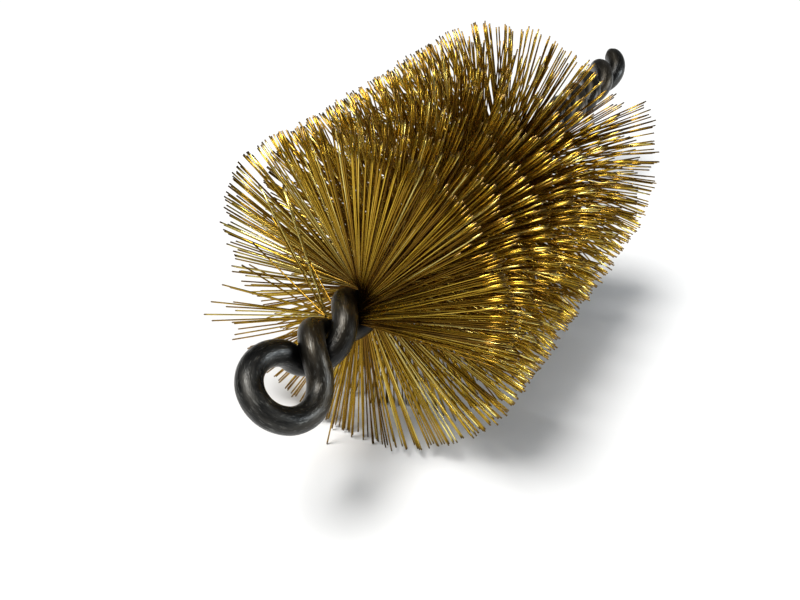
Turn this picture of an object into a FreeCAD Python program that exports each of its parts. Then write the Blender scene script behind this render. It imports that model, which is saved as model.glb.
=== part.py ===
import FreeCAD, Part
import math
import os
from FreeCAD import Matrix, Vector

# A twisted-in-wire brass brush that lies along +X on its bristle tips, +Z up.
# One steel wire is bent double: the bend is the eye, and the two legs are twisted together, left-handed,
# around a layer of brass wires. The eye and the legs are separate nodes that meet face to face, so that the
# eye's hole stays open. The origin is on the surface it rests on, below the middle of its length.
# All lengths are in millimetres. Places along the brush count from its first bristles, towards the shank.

# Stem wire
WIRE_D = 4.3
TWIST_PITCH = 18.0
LEG_GAP = 0.3
SHANK_END = 128.4
FIRST_LEG_EYE = -6.8
SECOND_LEG_EYE = -8.0

# Eye: a round bend of the same wire, in a plane through the brush's axis
EYE_BEND_R = 5.5
EYE_CENTRE = -15.95
EYE_OFFSET = -1.0
EYE_FIRST_ANGLE = math.radians(-74.0)
EYE_SECOND_ANGLE = math.radians(63.0 - 360.0)
EYE_PLANE_ANGLE = math.radians(34.2)
EYE_SPLIT = -8.6

# Bristles: whole wires laid across the stem and gripped between its legs
BRUSH_R = 30.0
BRISTLED_LENGTH = 66.0
FAN_COUNT = 22
FIRST_FAN_ANGLE = math.radians(203.7)
BLADE_THICKNESS = 0.6
BLADE_INNER_R = 0.4

LEG_R = (WIRE_D + LEG_GAP) / 2
TURN_PER_MM = -2 * math.pi / TWIST_PITCH
FAN_STEP = BRISTLED_LENGTH / FAN_COUNT
EYE_END = EYE_CENTRE - EYE_BEND_R - WIRE_D / 2
FIRST_BRISTLE = Vector(-(SHANK_END + EYE_END) / 2, 0, BRUSH_R)


def on_axis_frame(shape, x, angle):
    """Puts a shape made about +Z at the place x along the brush, turned by angle about its axis."""
    c = math.cos(angle)
    s = math.sin(angle)
    place = FIRST_BRISTLE + Vector(x, 0, 0)
    placed = shape.copy()
    placed.transformShape(Matrix(0, 0, 1, place.x, c, -s, 0, 0, s, c, 0, place.z, 0, 0, 0, 1))
    return placed


def radial(angle):
    """Unit vector across the brush's axis, at an angle from +Y towards +Z."""
    return Vector(0, math.cos(angle), math.sin(angle))


def leg_angle(x, leg):
    """Angle about the axis of leg 0 or leg 1 at x: a quarter turn from the bristles beside it."""
    return FIRST_FAN_ANGLE + math.pi / 2 + leg * math.pi + TURN_PER_MM * x


def leg_point(x, leg):
    return FIRST_BRISTLE + Vector(x, 0, 0) + radial(leg_angle(x, leg)) * LEG_R


def leg_tangent(x, leg):
    """Direction of a leg's centre line towards +X."""
    across = radial(leg_angle(x, leg) + math.pi / 2) * (LEG_R * TURN_PER_MM)
    return (Vector(1, 0, 0) + across).normalize()


def eye_point(angle):
    across = radial(EYE_PLANE_ANGLE)
    centre = FIRST_BRISTLE + Vector(EYE_CENTRE, 0, 0) + across * EYE_OFFSET
    return centre + (Vector(1, 0, 0) * math.cos(angle) + across * math.sin(angle)) * EYE_BEND_R


def eye_tangent(angle):
    """Direction of the eye's centre line as its angle falls, from the first leg to the second."""
    return (Vector(1, 0, 0) * math.sin(angle) - radial(EYE_PLANE_ANGLE) * math.cos(angle)).normalize()


def arc_edge(start, tangent, end):
    """Circular arc from start, leaving along tangent, to end."""
    chord = end - start
    along = chord.dot(tangent)
    side = chord - tangent * along
    height = side.Length
    radius = chord.Length ** 2 / (2 * height)
    half_turn = math.atan2(height, along)
    inward = side * (1 / height)
    middle = start + tangent * (radius * math.sin(half_turn)) + inward * (radius * (1 - math.cos(half_turn)))
    return Part.Arc(start, middle, end).toShape()


def joining_arcs(start, start_tangent, end, end_tangent):
    """Two tangent arcs that lead from one point and direction to another."""
    gap = end - start
    both = start_tangent + end_tangent
    reach = gap.dot(both)
    spread = 2 * (1 - start_tangent.dot(end_tangent))
    handle = (math.sqrt(reach ** 2 + spread * gap.dot(gap)) - reach) / spread
    corner_a = start + start_tangent * handle
    corner_b = end - end_tangent * handle
    meet = (corner_a + corner_b) * 0.5
    meet_tangent = (corner_b - corner_a).normalize()
    return [arc_edge(start, start_tangent, meet), arc_edge(meet, meet_tangent, end)]


def leg_coil(leg, eye_x):
    """The helical stretch of one leg, from eye_x to just past the shank's end, as a solid."""
    length = SHANK_END + WIRE_D - eye_x
    spine = Part.makeHelix(TWIST_PITCH, length, LEG_R, 0, True)
    climb = TWIST_PITCH / (2 * math.pi)
    tangent = Vector(0, -LEG_R, climb).normalize()
    section = Part.Wire(Part.makeCircle(WIRE_D / 2, Vector(LEG_R, 0, 0), tangent))
    coil = Part.Wire(spine.Edges).makePipeShell([section], True, True)
    return on_axis_frame(coil, eye_x, leg_angle(eye_x, leg))


def eye_bend():
    """The eye and the arcs that lead from it into both legs, as a list of solids."""
    first = leg_point(FIRST_LEG_EYE, 0)
    second = leg_point(SECOND_LEG_EYE, 1)
    middle_angle = (EYE_FIRST_ANGLE + EYE_SECOND_ANGLE) / 2
    eye_start = eye_point(EYE_FIRST_ANGLE)
    eye_end = eye_point(EYE_SECOND_ANGLE)
    path = joining_arcs(first, -leg_tangent(FIRST_LEG_EYE, 0), eye_start, eye_tangent(EYE_FIRST_ANGLE))
    path.append(Part.Arc(eye_start, eye_point(middle_angle), eye_end).toShape())
    path += joining_arcs(eye_end, eye_tangent(EYE_SECOND_ANGLE), second, leg_tangent(SECOND_LEG_EYE, 1))
    bends = []
    for edge in path:
        print("bend radius %.2f mm" % edge.Curve.Radius)
        start = edge.valueAt(edge.FirstParameter)
        section = Part.Wire(Part.makeCircle(WIRE_D / 2, start, edge.tangentAt(edge.FirstParameter)))
        bends.append(Part.Wire([edge]).makePipeShell([section], True, False))
    return bends


def stem_wire():
    """The whole wire, bent and twisted, with its two ends cut square."""
    pieces = eye_bend() + [leg_coil(0, FIRST_LEG_EYE), leg_coil(1, SECOND_LEG_EYE)]
    wire = pieces[0].multiFuse(pieces[1:]).removeSplitter()
    offcut = Part.makeCylinder(2 * WIRE_D, 4 * WIRE_D)
    return wire.cut(on_axis_frame(offcut, SHANK_END, 0))


def split_stem():
    """The wire cut square across both legs at EYE_SPLIT: its eye, and its two legs."""
    wire = stem_wire()
    eye_side = on_axis_frame(Part.makeCylinder(3 * WIRE_D, 6 * WIRE_D), EYE_SPLIT - 6 * WIRE_D, 0)
    return wire.common(eye_side), wire.cut(eye_side)


def bristle_blade(fan, side):
    """One side of a fan of bristles, as a thin helical blade from the stem to the bristle tips."""
    spine = Part.makeHelix(TWIST_PITCH, FAN_STEP, BRUSH_R / 2, 0, True)
    half = BLADE_THICKNESS / 2
    corners = [(BLADE_INNER_R, -half), (BRUSH_R, -half), (BRUSH_R, half), (BLADE_INNER_R, half)]
    outline = [Vector(r, 0, z) for r, z in corners]
    section = Part.makePolygon(outline + [outline[0]])
    blade = Part.Wire(spine.Edges).makePipeShell([section], True, True)
    x = fan * FAN_STEP
    return on_axis_frame(blade, x, FIRST_FAN_ANGLE + side * math.pi + TURN_PER_MM * x)


def bristle_fan(fan):
    return Part.makeCompound([bristle_blade(fan, 0), bristle_blade(fan, 1)])


os.makedirs("parts", exist_ok=True)
eye, legs = split_stem()
nodes = {"stem_eye": eye, "stem_legs": legs}
for fan in range(FAN_COUNT):
    nodes["bristle_fan_%02d" % (fan + 1)] = bristle_fan(fan)
for name, shape in nodes.items():
    shape.exportStep("parts/%s.step" % name)
    print(name, len(shape.Solids), shape.isValid(), round(shape.Volume, 1), shape.BoundBox)
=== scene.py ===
import math
import random

import bpy
from mathutils import Matrix, Vector, kdtree, noise


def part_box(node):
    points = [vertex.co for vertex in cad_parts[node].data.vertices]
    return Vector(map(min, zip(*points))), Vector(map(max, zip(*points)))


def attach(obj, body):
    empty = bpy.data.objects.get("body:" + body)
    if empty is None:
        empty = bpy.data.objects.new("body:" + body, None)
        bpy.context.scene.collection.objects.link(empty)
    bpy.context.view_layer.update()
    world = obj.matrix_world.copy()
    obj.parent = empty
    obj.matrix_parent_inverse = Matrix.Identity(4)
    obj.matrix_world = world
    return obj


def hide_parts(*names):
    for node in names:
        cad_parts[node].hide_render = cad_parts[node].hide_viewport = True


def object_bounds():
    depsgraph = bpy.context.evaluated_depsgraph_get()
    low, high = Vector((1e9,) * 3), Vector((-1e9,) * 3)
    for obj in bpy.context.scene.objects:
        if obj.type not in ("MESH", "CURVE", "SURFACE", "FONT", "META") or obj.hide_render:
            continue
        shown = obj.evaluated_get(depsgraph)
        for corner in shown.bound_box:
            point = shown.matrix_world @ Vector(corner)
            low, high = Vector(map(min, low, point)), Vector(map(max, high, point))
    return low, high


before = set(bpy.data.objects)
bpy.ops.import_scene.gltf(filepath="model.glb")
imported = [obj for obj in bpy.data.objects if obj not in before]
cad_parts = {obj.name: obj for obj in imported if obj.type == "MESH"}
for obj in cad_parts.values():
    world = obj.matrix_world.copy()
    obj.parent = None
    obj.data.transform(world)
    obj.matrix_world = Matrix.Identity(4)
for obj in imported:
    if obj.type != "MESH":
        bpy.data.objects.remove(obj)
CAD_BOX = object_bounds()

MM = 0.001
rng = random.Random(20)


# ---------------------------------------------------------------- the brush's own geometry, from the frame

FANS = sorted(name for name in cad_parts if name.startswith("bristle_fan"))

# A fan's box starts and ends half a blade's thickness beyond its first and last bristles
BLADE_HALF = 0.3 * MM
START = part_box(FANS[0])[0].x + BLADE_HALF
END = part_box(FANS[-1])[1].x - BLADE_HALF
BRISTLED_LENGTH = END - START
BRUSH_R = (CAD_BOX[1].z - CAD_BOX[0].z) / 2
AXIS_Z = CAD_BOX[0].z + BRUSH_R
FAN_STEP = BRISTLED_LENGTH / len(FANS)
FANS_PER_TURN = 6
PITCH = FANS_PER_TURN * FAN_STEP
TURN_RATE = -2 * math.pi / PITCH
FIRST_ANGLE = math.radians(203.7)

# Texture coordinates are shrunk by this much along a wire, so that its streaks run lengthways
STREAK_STRETCH = 0.3


def axis_point(x):
    """Point on the brush's axis, x metres past the first bristles."""
    return Vector((START + x, 0, AXIS_Z))


def across(angle):
    """Unit vector across the axis, at an angle from +Y towards +Z."""
    return Vector((0, math.cos(angle), math.sin(angle)))


def swells(x, humps):
    """The sum at x of smooth humps along the brush. Each one is a height, a place and a width."""
    return sum(height * math.exp(-((x - place) / width) ** 2) for height, place, width in humps)


def new_object(name, verts, faces, attributes):
    """A mesh object. Each attribute is a name, a data type and one value for each vertex."""
    mesh = bpy.data.meshes.new(name)
    mesh.from_pydata(verts, [], faces)
    for key, kind, values in attributes:
        field = "vector" if kind == "FLOAT_VECTOR" else "value"
        layer = mesh.attributes.new(key, kind, "POINT")
        flat = [c for v in values for c in v] if field == "vector" else values
        layer.data.foreach_set(field, flat)
    mesh.update()
    thing = bpy.data.objects.new(name, mesh)
    bpy.context.scene.collection.objects.link(thing)
    return thing


# ---------------------------------------------------------------- materials

# Linear colours. A list of tones gives each one's place on its ramp.
BRASS_TONES = [
    (0.0, (0.09, 0.044, 0.004)),
    (0.25, (0.28, 0.158, 0.012)),
    (0.65, (0.56, 0.372, 0.036)),
    (1.0, (0.96, 0.820, 0.270)),
]
BRASS_STREAK = (0.28, 0.150, 0.012)
# Painted shade, darkest at a bristle's root
BRASS_PAINTED_SHADE = (0.13, 0.060, 0.008)
BRASS_CUT_TIP = (0.15, 0.09, 0.025)
BRASS_EDGE_TINT = (0.75, 0.56, 0.20, 1)
OXIDE_TONES = [
    (0.30, (0.005, 0.005, 0.005)),
    (0.5, (0.016, 0.016, 0.015)),
    (0.70, (0.060, 0.057, 0.050)),
]
OXIDE_BROWN = (0.044, 0.032, 0.016)
OXIDE_FLECK = (0.22, 0.22, 0.20)
# Painted shade: near black, for spots hidden by other wire or by the bristles
PAINTED_SHADE_BLACK = (0.003, 0.003, 0.003)
BARE_STEEL = (0.42, 0.41, 0.39)
FLOOR_WHITE = (0.82, 0.82, 0.82, 1)


class Nodes:
    """Small helper that adds and links shader nodes."""

    def __init__(self, name):
        self.material = bpy.data.materials.new(name)
        self.material.use_nodes = True
        self.tree = self.material.node_tree
        self.tree.nodes.clear()
        self.out = self.add("ShaderNodeOutputMaterial")
        self.bsdf = self.add("ShaderNodeBsdfPrincipled")
        self.link(self.bsdf.outputs["BSDF"], self.out.inputs["Surface"])

    def add(self, kind, **settings):
        node = self.tree.nodes.new(kind)
        for key, value in settings.items():
            setattr(node, key, value)
        return node

    def link(self, source, target):
        self.tree.links.new(source, target)

    def attribute(self, name, output="Fac"):
        return self.add("ShaderNodeAttribute", attribute_name=name).outputs[output]

    def noise(self, vector, scale, detail, roughness=0.55):
        node = self.add("ShaderNodeTexNoise")
        node.inputs["Scale"].default_value = scale
        node.inputs["Detail"].default_value = detail
        node.inputs["Roughness"].default_value = roughness
        self.link(vector, node.inputs["Vector"])
        return node.outputs["Fac"]

    def ramp(self, factor, stops):
        node = self.add("ShaderNodeValToRGB")
        ramp = node.color_ramp
        while len(ramp.elements) < len(stops):
            ramp.elements.new(0.5)
        for element, (place, colour) in zip(ramp.elements, stops):
            element.position = place
            element.color = (*colour, 1)
        self.link(factor, node.inputs["Fac"])
        return node.outputs["Color"]

    def mix(self, factor, a, b):
        """From a to b as the factor goes from 0 to 1. Each one is a number, a colour or a node's output."""
        node = self.add("ShaderNodeMix", data_type="RGBA")
        for value, socket in ((factor, node.inputs[0]), (a, node.inputs[6]), (b, node.inputs[7])):
            if isinstance(value, (int, float)):
                socket.default_value = value
            elif isinstance(value, tuple):
                socket.default_value = (*value, 1)
            else:
                self.link(value, socket)
        return node.outputs[2]

    def spread(self, value, low, high, to_low=0.0, to_high=1.0):
        """The value, stretched from the range low..high to the range to_low..to_high, and held within it."""
        node = self.add("ShaderNodeMapRange")
        for key, number in (("From Min", low), ("From Max", high), ("To Min", to_low), ("To Max", to_high)):
            node.inputs[key].default_value = number
        self.link(value, node.inputs["Value"])
        return node.outputs["Result"]

    def bump(self, height, strength, distance):
        node = self.add("ShaderNodeBump")
        node.inputs["Strength"].default_value = strength
        node.inputs["Distance"].default_value = distance
        self.link(height, node.inputs["Height"])
        self.link(node.outputs["Normal"], self.bsdf.inputs["Normal"])


def brass_material():
    """Drawn brass wire: golden, each wire a little different, with painted highlights in a few bundles,
    painted shade towards the root, and darker at its cut end.
    """
    n = Nodes("drawn_brass")
    flow = n.attribute("flow", "Vector")
    streak = n.noise(flow, scale=900, detail=3)
    cut_tip = n.spread(n.attribute("reach"), 0.975, 0.99)
    # The tone holds random differences between wires, plus painted highlights and painted shade near the
    # front
    base = n.ramp(n.attribute("tone"), BRASS_TONES)
    base = n.mix(n.spread(streak, 0.35, 0.7, 0.0, 0.45), base, BRASS_STREAK)
    # Painted shade towards the root, over more of the bristle deeper in the brush
    base = n.mix(n.attribute("root_shade"), base, BRASS_PAINTED_SHADE)
    base = n.mix(cut_tip, base, BRASS_CUT_TIP)
    n.link(base, n.bsdf.inputs["Base Color"])
    n.bsdf.inputs["Metallic"].default_value = 1.0
    n.link(n.spread(streak, 0.3, 0.7, 0.16, 0.30), n.bsdf.inputs["Roughness"])
    n.bsdf.inputs["Specular Tint"].default_value = BRASS_EDGE_TINT
    n.bsdf.inputs["Coat Weight"].default_value = 0.15
    n.bsdf.inputs["Coat Roughness"].default_value = 0.14
    return n.material


def steel_material():
    """Oxidised steel wire: near black and streaked, brown and grey where worn, with painted shade, near
    black, where other wire or the bristles hide it.
    """
    n = Nodes("oxidised_steel_painted_shade")
    flow = n.attribute("flow", "Vector")
    streak = n.noise(flow, scale=420, detail=7, roughness=0.65)
    patch = n.noise(flow, scale=110, detail=4)
    fleck = n.noise(flow, scale=3200, detail=2)
    base = n.ramp(streak, OXIDE_TONES)
    base = n.mix(n.spread(patch, 0.46, 0.62, 0.0, 0.75), base, OXIDE_BROWN)
    base = n.mix(n.spread(fleck, 0.58, 0.74, 0.0, 0.4), base, OXIDE_FLECK)
    # Painted shade: the base colour goes near black where the wire is hidden
    base = n.mix(n.spread(n.attribute("painted_shade"), 0.0, 0.7, 0.0, 0.95), base, PAINTED_SHADE_BLACK)
    base = n.mix(n.attribute("bare"), base, BARE_STEEL)
    n.link(base, n.bsdf.inputs["Base Color"])
    n.bsdf.inputs["Metallic"].default_value = 0.8
    n.link(n.spread(streak, 0.35, 0.68, 0.22, 0.52), n.bsdf.inputs["Roughness"])
    n.bsdf.inputs["Coat Weight"].default_value = 0.10
    n.bsdf.inputs["Coat Roughness"].default_value = 0.25
    n.bump(n.mix(0.4, streak, fleck), strength=1.0, distance=0.20 * MM)
    return n.material


# ---------------------------------------------------------------- stem wire

# The CAD's own dimensions
WIRE_R = 2.15 * MM
LEG_R = 2.3 * MM
EYE_BEND_R = 5.5 * MM
EYE_CENTRE = -15.95 * MM
EYE_OFFSET = -1.0 * MM
EYE_FIRST_ANGLE = math.radians(-74.0)
EYE_SECOND_ANGLE = math.radians(63.0 - 360.0)
EYE_PLANE_ANGLE = math.radians(34.2)
FIRST_LEG_EYE = -6.8 * MM
SECOND_LEG_EYE = -8.0 * MM
SHANK_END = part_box("stem_legs")[1].x - START

# Fineness of the tube: points round it, length of a step along the legs, and steps in the bends
STEM_SIDES = 40
LEG_STEP = 0.45 * MM
JOIN_STEPS = 9
EYE_STEPS = 48

# Uneven surface: dents and pits, in waves per metre and height, and how far it all lies under the CAD's
DENT_WAVES = 420
DENT_HEIGHT = 0.035 * MM
PIT_WAVES = 1500
PIT_HEIGHT = 0.012 * MM
SURFACE_SINK = 0.02 * MM

# Painted shade: the surface's colour is darkened over this distance towards another stretch of the wire,
# which is more than the skip below in rings away, and over this distance in among the bristles
PAINTED_SHADE_REACH = 2.8 * MM
PAINTED_SHADE_SKIP = 22


def leg_angle(x, leg):
    """Angle about the axis of leg 0 or leg 1 at x: a quarter turn from the bristles beside it."""
    return FIRST_ANGLE + math.pi / 2 + leg * math.pi + TURN_RATE * x


def leg_point(x, leg):
    return axis_point(x) + across(leg_angle(x, leg)) * LEG_R


def leg_tangent(x, leg):
    """Direction of a leg's centre line towards +X."""
    return (Vector((1, 0, 0)) + across(leg_angle(x, leg) + math.pi / 2) * LEG_R * TURN_RATE).normalized()


def eye_point(angle):
    side = across(EYE_PLANE_ANGLE)
    centre = axis_point(EYE_CENTRE) + side * EYE_OFFSET
    return centre + (Vector((1, 0, 0)) * math.cos(angle) + side * math.sin(angle)) * EYE_BEND_R


def eye_tangent(angle):
    """Direction of the eye's centre line as its angle falls, from the first leg to the second."""
    return (Vector((1, 0, 0)) * math.sin(angle) - across(EYE_PLANE_ANGLE) * math.cos(angle)).normalized()


def arc_points(start, tangent, end):
    """Points along the arc that leaves start along tangent and ends at end, without its last point."""
    chord = end - start
    along = chord.dot(tangent)
    side = chord - tangent * along
    radius = chord.length_squared / (2 * side.length)
    inward = side.normalized()
    turn = 2 * math.atan2(side.length, along)
    points = []
    for k in range(JOIN_STEPS):
        a = turn * k / JOIN_STEPS
        points.append(start + tangent * radius * math.sin(a) + inward * radius * (1 - math.cos(a)))
    return points


def joining_points(start, start_tangent, end, end_tangent):
    """Points along the two tangent arcs that join two places and directions, without the last point."""
    gap = end - start
    reach = gap.dot(start_tangent + end_tangent)
    spread = 2 * (1 - start_tangent.dot(end_tangent))
    handle = (math.sqrt(reach ** 2 + spread * gap.length_squared) - reach) / spread
    corner_a = start + start_tangent * handle
    corner_b = end - end_tangent * handle
    meet = (corner_a + corner_b) / 2
    meet_tangent = (corner_b - corner_a).normalized()
    return arc_points(start, start_tangent, meet) + arc_points(meet, meet_tangent, end)


def stem_centre_line():
    """The whole wire's centre line, from the first leg's sheared end round the eye to the second's."""
    first_count = int((SHANK_END - FIRST_LEG_EYE) / LEG_STEP)
    second_count = int((SHANK_END - SECOND_LEG_EYE) / LEG_STEP)
    eye_start = eye_point(EYE_FIRST_ANGLE)
    eye_end = eye_point(EYE_SECOND_ANGLE)
    line = []
    for k in range(first_count):
        line.append(leg_point(SHANK_END + (FIRST_LEG_EYE - SHANK_END) * k / first_count, 0))
    line += joining_points(leg_point(FIRST_LEG_EYE, 0), -leg_tangent(FIRST_LEG_EYE, 0),
                           eye_start, eye_tangent(EYE_FIRST_ANGLE))
    for k in range(EYE_STEPS):
        line.append(eye_point(EYE_FIRST_ANGLE + (EYE_SECOND_ANGLE - EYE_FIRST_ANGLE) * k / EYE_STEPS))
    line += joining_points(eye_end, eye_tangent(EYE_SECOND_ANGLE),
                           leg_point(SECOND_LEG_EYE, 1), leg_tangent(SECOND_LEG_EYE, 1))
    for k in range(second_count + 1):
        line.append(leg_point(SECOND_LEG_EYE + (SHANK_END - SECOND_LEG_EYE) * k / second_count, 1))
    return line


def sweep_frames(line):
    """Tangent and two cross directions at each point, carried along without twisting."""
    tangents = []
    for k in range(len(line)):
        before = line[max(k - 1, 0)]
        after = line[min(k + 1, len(line) - 1)]
        tangents.append((after - before).normalized())
    side = tangents[0].orthogonal().normalized()
    frames = []
    for k, tangent in enumerate(tangents):
        side = (side - tangent * side.dot(tangent)).normalized()
        frames.append((tangent, side, tangent.cross(side)))
    return frames


def painted_shade_finder(line):
    """A function that says how much painted shade a spot on ring k gets, from 0 to 1, for being hidden by
    other wire or by the bristles.
    """
    tree = kdtree.KDTree(len(line))
    for k, point in enumerate(line):
        tree.insert(point, k)
    tree.balance()

    def painted_shade_amount(spot, k):
        inside = min(spot.x - axis_point(0).x, axis_point(BRISTLED_LENGTH).x - spot.x) / PAINTED_SHADE_REACH
        best = max(inside, 0.0)
        for _, other, distance in tree.find_range(spot, WIRE_R + PAINTED_SHADE_REACH):
            if abs(other - k) > PAINTED_SHADE_SKIP:
                best = max(best, 1 - (distance - WIRE_R) / PAINTED_SHADE_REACH)
        return min(best, 1.0)
    return painted_shade_amount


def make_stem():
    """The whole stem wire, legs and eye, as one tube with flat sheared ends."""
    line = stem_centre_line()
    painted_shade_amount = painted_shade_finder(line)
    verts, flow, bare, painted_shade, faces = [], [], [], [], []
    travelled = 0.0
    last = len(line) - 1
    for k, (point, (_, u, v)) in enumerate(zip(line, sweep_frames(line))):
        if k:
            travelled += (point - line[k - 1]).length
        for j in range(STEM_SIDES):
            a = 2 * math.pi * j / STEM_SIDES
            out = u * math.cos(a) + v * math.sin(a)
            spot = point + out * WIRE_R
            dent = noise.noise(spot * DENT_WAVES) * DENT_HEIGHT + noise.noise(spot * PIT_WAVES) * PIT_HEIGHT
            place = spot + out * (dent - SURFACE_SINK)
            if k in (0, last):
                place.x = axis_point(SHANK_END).x
            verts.append(place)
            flow.append((travelled * STREAK_STRETCH, WIRE_R * math.cos(a), WIRE_R * math.sin(a)))
            bare.append(1.0 if k in (0, last) else 0.0)
            # How much painted shade each spot gets, from how hidden it is
            painted_shade.append(painted_shade_amount(place, k))
    for k in range(last):
        for j in range(STEM_SIDES):
            a = k * STEM_SIDES + j
            b = k * STEM_SIDES + (j + 1) % STEM_SIDES
            faces.append((a, b, b + STEM_SIDES, a + STEM_SIDES))
    faces.append(tuple(reversed(range(STEM_SIDES))))
    faces.append(tuple(range(last * STEM_SIDES, len(verts))))
    stem = new_object("stem", verts, faces, [
        ("flow", "FLOAT_VECTOR", flow), ("bare", "FLOAT", bare), ("painted_shade", "FLOAT", painted_shade)])
    for face in stem.data.polygons:
        face.use_smooth = len(face.vertices) == 4
    stem.data.materials.append(steel_material())
    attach(stem, "root")
    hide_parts("stem_eye", "stem_legs")


# ---------------------------------------------------------------- bristles

WIRES_PER_FAN = 64
BRISTLE_WIRE_R = 0.14 * MM
BRISTLE_SIDES = 6
BRISTLE_STEPS = 6
FLOOR_CLEARANCE = 0.15 * MM

# The part of its own slot, out of WIRES_PER_FAN in a fan, in which a wire may lie
SLOT_PART = (0.05, 0.95)

# The first fan's wires start here. The ones before the first whole wire reach out on one side only, and are
# splayed about by a turn and a lean, each given as a mean and a spread. Past it, one wire in so many reaches
# out on both sides.
FIRST_WIRE = 0.3 * MM
FIRST_WHOLE_WIRE = 1.3 * MM
WHOLE_WIRE_EVERY = 7
WHOLE_WIRE_LOOSENESS = 2.5
FIRST_WIRES_TURN = (-0.35, 0.20)
FIRST_WIRES_LEAN = (0.08, 0.10)

# How unevenly the wires lie: angles in radians, and lengths as shares of the brush's radius. TIP_BEND is the
# part of a bristle's bend that is still there at its tip.
TURN_SPREAD = 0.010
LEAN_SPREAD = 0.014
BEND_SPREAD = 0.16 * MM
TIP_BEND = 0.5
LENGTH_LOSS = 0.004
LENGTH_SPREAD = 0.010
LONGEST = 1.032

# Clumps: how many wires are in one, how far it leans, and the ranges of its centre and its strength
CLUMP_WIRES = 3.4
CLUMP_LEAN = 0.017
CLUMP_CENTRE = (0.2, 0.8)
CLUMP_STRENGTH = (0.0, 0.8)

# In the front layers the clumps are weaker, and the wires lie more evenly than further in
FRONT_DEPTH = 12 * MM
FRONT_EDGE = 3 * MM
FRONT_CLUMPING = 0.5
LATER_UNEVENNESS = 1.2

# Swells of the front layers, for each side of a wire: leans along the axis in radians, and extra length
FRONT_LEANS = (
    [(0.10, 4.0 * MM, 2.2 * MM), (-0.06, 9.3 * MM, 2.2 * MM)],
    [(-0.06, 6.0 * MM, 2.0 * MM)],
)
FRONT_LENGTHS = (
    [(0.028, 7.5 * MM, 3 * MM)],
    [],
)

# Lean of the last wires, which nothing holds up from outside, and the depth over which it fades
BACK_LEAN = 0.12
BACK_DEPTH = 8 * MM

# Share of the wires that have a shorter end, and the least that one can be
SHORT_WIRES = 0.03
SHORTEST = 0.9

# Tone of the brass, from 0 to 1, and how widely single wires differ from it. On top of that, painted shade
# makes it dull where the wires first leave the twist, and painted highlights make it bright in two bundles
# near the front.
MIDDLE_TONE = 0.42
TONE_SPREAD = 0.30
FRONT_PAINTED_LIGHT = [
    (-0.45, 0, 1.6 * MM),
    (0.30, 9.6 * MM, 1.2 * MM),
    (0.35, 7.7 * MM, 0.6 * MM),
]

# Share of a bristle's length, from its root, that gets painted shade: at the first bristles, and the extra
# behind the front layers. The painted shade fades evenly, to nothing at the end share below times that
# length.
ROOT_SHADE_SHARE = 0.26
DEEP_SHADE_SHARE = 0.40
ROOT_SHADE_STRENGTH = 0.85
ROOT_SHADE_END = 1.15

# Stray wires that have slid or been bent out of the first fan: place along the brush in mm, angle round the
# axis and lean along it in degrees, length as a share of the brush's radius, and tone.
STRAYS = [
    (0.4, 24, 27, 0.92, 0.3),
    (0.6, 17, 26, 0.90, 0.2),
    (1.0, 12, 24, 0.94, 0.3),
    (1.4, 352, 16, 0.95, 0.4),
    (1.6, 346, 7, 1.00, 0.3),
    (1.8, 341, 5, 0.98, 0.3),
    (2.2, 344, -9, 1.00, 0.9),
    (2.3, 340, -7, 1.00, 0.4),
    (2.5, 334, 0, 0.98, 0.4),
    (2.6, 331, 1, 1.00, 0.2),
    (4.6, 278, -10, 1.02, 0.5),
]

# Strays that have slid out of the twist and been bent up beside the first leg, from one elbow: angle round
# the axis and lean along it in degrees, length as a share of the brush's radius, and tone.
# The tones of 1 here are painted highlights, to make those strays glint
BENT_STRAYS = [
    (55, 6.0, 0.79, 1.0),
    (55, 4.0, 0.62, 0.3),
    (58, 15.0, 0.74, 1.0),
    (59, 13.5, 0.73, 1.0),
    (57, 16.5, 0.70, 0.9),
    (15, 14.6, 0.67, 0.3),
    (13, 16.0, 0.68, 0.4),
    (4, 8.0, 0.67, 0.2),
]

# A bent stray's start, the place where it turns away from the axis, and its elbow. A reach is a share of its
# length.
BENT_STRAY_START = -0.3 * MM
BEND_PLACE = -0.55 * MM
BEND_R = 1.9 * MM
BEND_REACH = 0.1
ELBOW_PLACE = -0.6 * MM
ELBOW_R = 2.4 * MM
ELBOW_REACH = 0.15
ELBOW_ANGLE = math.radians(18)


class Clumps:
    """Slowly changing random leans, so that wires side by side bunch together at their tips."""

    def __init__(self):
        self.clumps = {}

    def pull(self, place):
        """The clump that a wire is in: its own place in wires, its lean and its strength."""
        key = math.floor(place / CLUMP_WIRES)
        if key not in self.clumps:
            self.clumps[key] = (rng.uniform(*CLUMP_CENTRE), rng.gauss(0, 1), rng.uniform(*CLUMP_STRENGTH))
        centre, lean, strength = self.clumps[key]
        return (key + centre) * CLUMP_WIRES, lean, strength


clump_sides = (Clumps(), Clumps())


def usual_lean(x, side):
    """How far the wires at x lean along the axis, in radians."""
    return BACK_LEAN * math.exp(-(BRISTLED_LENGTH - x) / BACK_DEPTH) + swells(x, FRONT_LEANS[side])


def wire_points(x, angle, lean, length, tip_turn=0.0, bend=0.0, bend_way=0.0):
    """A bristle from the axis outwards, as points with how far out each one is, from 0 to 1."""
    points = []
    round_about = across(angle + math.pi / 2)
    for k in range(BRISTLE_STEPS + 1):
        t = k / BRISTLE_STEPS
        bow = bend * math.sin(math.pi * t) + TIP_BEND * bend * t * t
        spot = axis_point(x) + across(angle + tip_turn * t) * (length * t * math.cos(lean))
        spot += Vector((1, 0, 0)) * (length * t * math.sin(lean) + bow * math.cos(bend_way))
        spot += round_about * bow * math.sin(bend_way)
        spot.z = max(spot.z, CAD_BOX[0].z + FLOOR_CLEARANCE)
        points.append((spot, t))
    return points


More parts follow.
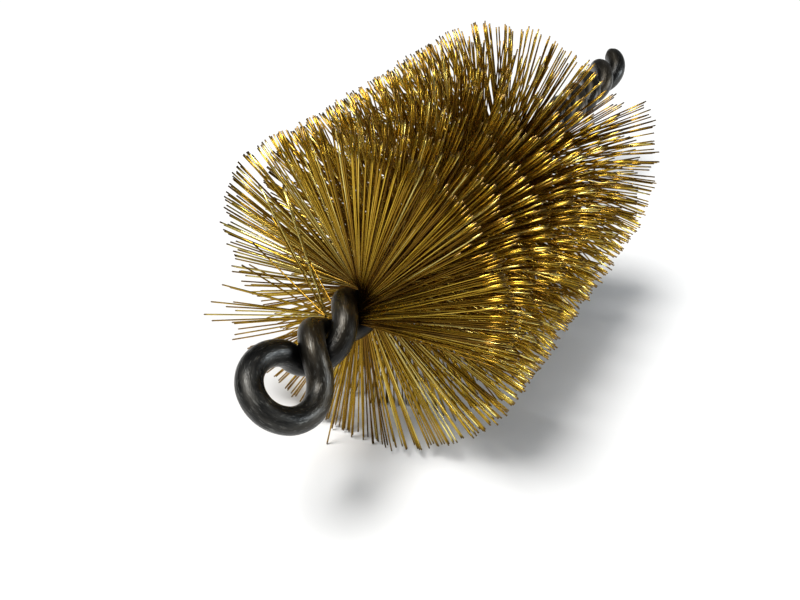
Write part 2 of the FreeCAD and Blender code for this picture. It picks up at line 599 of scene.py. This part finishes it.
def bent_points(angle, lean, length):
    """A stray from the twist to the elbow beside the first leg, and straight on from there."""
    beside = across(ELBOW_ANGLE)
    elbow = axis_point(ELBOW_PLACE) + beside * ELBOW_R
    way = across(angle) * math.cos(lean) + Vector((math.sin(lean), 0, 0))
    points = [(axis_point(BENT_STRAY_START), 0.0), (axis_point(BEND_PLACE) + beside * BEND_R, BEND_REACH)]
    for k in range(BRISTLE_STEPS - 1):
        t = k / (BRISTLE_STEPS - 2)
        points.append((elbow + way * (length * t), ELBOW_REACH + (1 - ELBOW_REACH) * t))
    return points


def bristle_path(x, side, looseness=1.0):
    """One of a wire's two bristles, with its own small turn, lean, bend and length.

    A looser wire lies more unevenly and is more often a short one.
    """
    angle = FIRST_ANGLE + TURN_RATE * x + side * math.pi
    place = x / FAN_STEP * WIRES_PER_FAN
    clump_place, clump_lean, clump_strength = clump_sides[side].pull(place)
    if x < FRONT_DEPTH:
        clump_strength *= FRONT_CLUMPING
        clump_lean *= FRONT_CLUMPING
    turn_per_wire = TURN_RATE * FAN_STEP / WIRES_PER_FAN
    tip_turn = (clump_place - place) * turn_per_wire * clump_strength + rng.gauss(0, TURN_SPREAD) * looseness
    unevenness = 1 + LATER_UNEVENNESS / (1 + math.exp(-(x - FRONT_DEPTH) / FRONT_EDGE))
    own_lean = (CLUMP_LEAN * clump_lean + rng.gauss(0, LEAN_SPREAD) * looseness) * unevenness
    lean = own_lean + usual_lean(x, side)
    if x < FIRST_WHOLE_WIRE:
        angle += rng.gauss(*FIRST_WIRES_TURN)
        lean += rng.gauss(*FIRST_WIRES_LEAN)
    length = BRUSH_R * (1 + rng.gauss(-LENGTH_LOSS, LENGTH_SPREAD))
    length *= 1 + swells(x, FRONT_LENGTHS[side])
    if rng.random() < SHORT_WIRES * looseness ** 2:
        length *= rng.uniform(SHORTEST, 1.0)
    length = min(length, BRUSH_R * LONGEST)
    bend = rng.gauss(0, BEND_SPREAD)
    bend_way = rng.uniform(0, 2 * math.pi)
    return wire_points(x, angle, lean, length, tip_turn, bend, bend_way)


class Bundle:
    """Wires that are being joined into one mesh, with what their material reads at each vertex."""

    def __init__(self):
        self.verts = []
        self.faces = []
        self.smooth = []
        self.tone = []
        self.reach = []
        self.root_shade = []
        self.flow = []

    def add_wire(self, line, tone):
        """Adds one wire as a closed tube with flat cut ends. Deeper in the brush, more of it gets painted
        shade from the root out.
        """
        frames = sweep_frames([spot for spot, t in line])
        depth = (line[0][0].x - axis_point(0).x) / FRONT_DEPTH
        shaded_share = ROOT_SHADE_SHARE + DEEP_SHADE_SHARE * min(max(depth, 0), 1)
        start = len(self.verts)
        for (spot, t), (_, u, v) in zip(line, frames):
            for j in range(BRISTLE_SIDES):
                a = 2 * math.pi * j / BRISTLE_SIDES
                offset = (u * math.cos(a) + v * math.sin(a)) * BRISTLE_WIRE_R
                stretched = offset + spot * STREAK_STRETCH
                self.verts.append(spot + offset)
                self.tone.append(tone)
                self.reach.append(t)
                # Painted shade: full at the root, fading out along the bristle
                self.root_shade.append(ROOT_SHADE_STRENGTH * min(max(ROOT_SHADE_END - t / shaded_share, 0), 1))
                self.flow.append((spot.x * STREAK_STRETCH + tone, stretched.y, stretched.z))
        last_ring = start + (len(line) - 1) * BRISTLE_SIDES
        for ring in range(start, last_ring, BRISTLE_SIDES):
            for j in range(BRISTLE_SIDES):
                a = ring + j
                b = ring + (j + 1) % BRISTLE_SIDES
                self.faces.append((a, b, b + BRISTLE_SIDES, a + BRISTLE_SIDES))
                self.smooth.append(True)
        self.faces.append(tuple(reversed(range(start, start + BRISTLE_SIDES))))
        self.faces.append(tuple(range(last_ring, last_ring + BRISTLE_SIDES)))
        self.smooth += [False, False]

    def make_object(self, name):
        piece = new_object(name, self.verts, self.faces, [
            ("tone", "FLOAT", self.tone), ("reach", "FLOAT", self.reach), ("root_shade", "FLOAT", self.root_shade),
            ("flow", "FLOAT_VECTOR", self.flow)])
        piece.data.polygons.foreach_set("use_smooth", self.smooth)
        return piece


def add_strays(bundle):
    for x, angle, lean, length, tone in STRAYS:
        line = wire_points(x * MM, math.radians(angle), math.radians(lean), BRUSH_R * length)
        bundle.add_wire(line, tone)
    for angle, lean, length, tone in BENT_STRAYS:
        line = bent_points(math.radians(angle), math.radians(lean), BRUSH_R * length)
        bundle.add_wire(line, tone)


def make_fan(fan, material):
    """The wires of one fan. Few of the first fan's reach out on both sides, and it has the stray ones."""
    bundle = Bundle()
    for wire in range(WIRES_PER_FAN):
        share = (wire + rng.uniform(*SLOT_PART)) / WIRES_PER_FAN
        x = (fan + share) * FAN_STEP if fan else FIRST_WIRE + (FAN_STEP - FIRST_WIRE) * share ** 0.5
        line = bristle_path(x, 0)
        if fan:
            line = list(reversed(bristle_path(x, 1))) + line[1:]
        elif x > FIRST_WHOLE_WIRE and wire % WHOLE_WIRE_EVERY == 0:
            line = list(reversed(bristle_path(x, 1, WHOLE_WIRE_LOOSENESS))) + line[1:]
        # Random tone, plus painted shade at the first wires and painted highlights in two front bundles
        tone = rng.gauss(MIDDLE_TONE + swells(x, FRONT_PAINTED_LIGHT), TONE_SPREAD)
        bundle.add_wire(line, min(max(tone, 0), 1))
    if fan == 0:
        add_strays(bundle)
    piece = bundle.make_object("bristles_%02d" % (fan + 1))
    piece.data.materials.append(material)
    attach(piece, "root")
    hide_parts(FANS[fan])


# ---------------------------------------------------------------- floor, light and camera

FLOOR_SIZE = 6
SKY_COLOUR = (0.92, 0.96, 1.0, 1)
SKY_STRENGTH = 0.15

# Where the camera stands, seen from the brush. Its aim is off the axis by these shares of its distance.
AZIMUTH = math.radians(-58.7)
ELEVATION = math.radians(37.4)
DISTANCE = 4.5 * BRUSH_R
AIM_PLACE = 3 * MM
AIM_SIDE = -0.059
AIM_RISE = -0.0165
LENS = 37.1
SENSOR_WIDTH = 36


def make_floor():
    bpy.ops.mesh.primitive_plane_add(size=FLOOR_SIZE, location=(0, 0, CAD_BOX[0].z))
    floor = bpy.context.object
    floor.name = "floor"
    n = Nodes("white_floor")
    n.bsdf.inputs["Base Color"].default_value = FLOOR_WHITE
    n.bsdf.inputs["Roughness"].default_value = 0.7
    floor.data.materials.append(n.material)


def area_light(name, direction, distance, size, power, colour):
    """A round light, in this direction from the middle of the bristles and facing them."""
    light = bpy.data.lights.new(name, "AREA")
    light.shape = "DISK"
    light.size = size
    light.energy = power
    light.color = colour
    lamp = bpy.data.objects.new(name, light)
    aim = Vector(direction).normalized()
    lamp.location = axis_point(BRISTLED_LENGTH / 2) + aim * distance
    lamp.rotation_mode = "QUATERNION"
    lamp.rotation_quaternion = aim.to_track_quat("Z", "Y")
    bpy.context.scene.collection.objects.link(lamp)


def make_light():
    """A soft warm light overhead, a weaker cool one from the brush's right, and a faint sky."""
    world = bpy.data.worlds.new("studio")
    world.use_nodes = True
    world.node_tree.nodes["Background"].inputs["Color"].default_value = SKY_COLOUR
    world.node_tree.nodes["Background"].inputs["Strength"].default_value = SKY_STRENGTH
    bpy.context.scene.world = world
    area_light("overhead", direction=(-0.30, 0.18, 0.93), distance=1.5, size=0.72, power=30.0,
               colour=(1.0, 0.99, 0.97))
    area_light("window", direction=(0.38, -0.86, 0.30), distance=1.0, size=0.34, power=6.2,
               colour=(0.86, 0.93, 1.0))
    bpy.context.scene.view_settings.view_transform = "Standard"


def make_camera():
    """Looks down along the brush from its eye. The first bristles' root is a little left of the middle."""
    data = bpy.data.cameras.new("camera")
    data.sensor_width = SENSOR_WIDTH
    data.lens = LENS
    data.clip_start = 0.01
    data.clip_end = 50
    back = Vector((math.sin(AZIMUTH) * math.cos(ELEVATION), -math.cos(AZIMUTH) * math.cos(ELEVATION),
                   math.sin(ELEVATION)))
    right = Vector((math.cos(AZIMUTH), math.sin(AZIMUTH), 0))
    up = back.cross(right)
    camera = bpy.data.objects.new("camera", data)
    camera.location = axis_point(AIM_PLACE) + (back - right * AIM_SIDE - up * AIM_RISE) * DISTANCE
    camera.rotation_mode = "QUATERNION"
    camera.rotation_quaternion = Matrix((right, up, back)).transposed().to_quaternion()
    bpy.context.scene.collection.objects.link(camera)
    bpy.context.scene.camera = camera


# ---------------------------------------------------------------- build

make_camera()
make_light()
make_floor()
make_stem()
brass = brass_material()
for number in range(len(FANS)):
    make_fan(number, brass)
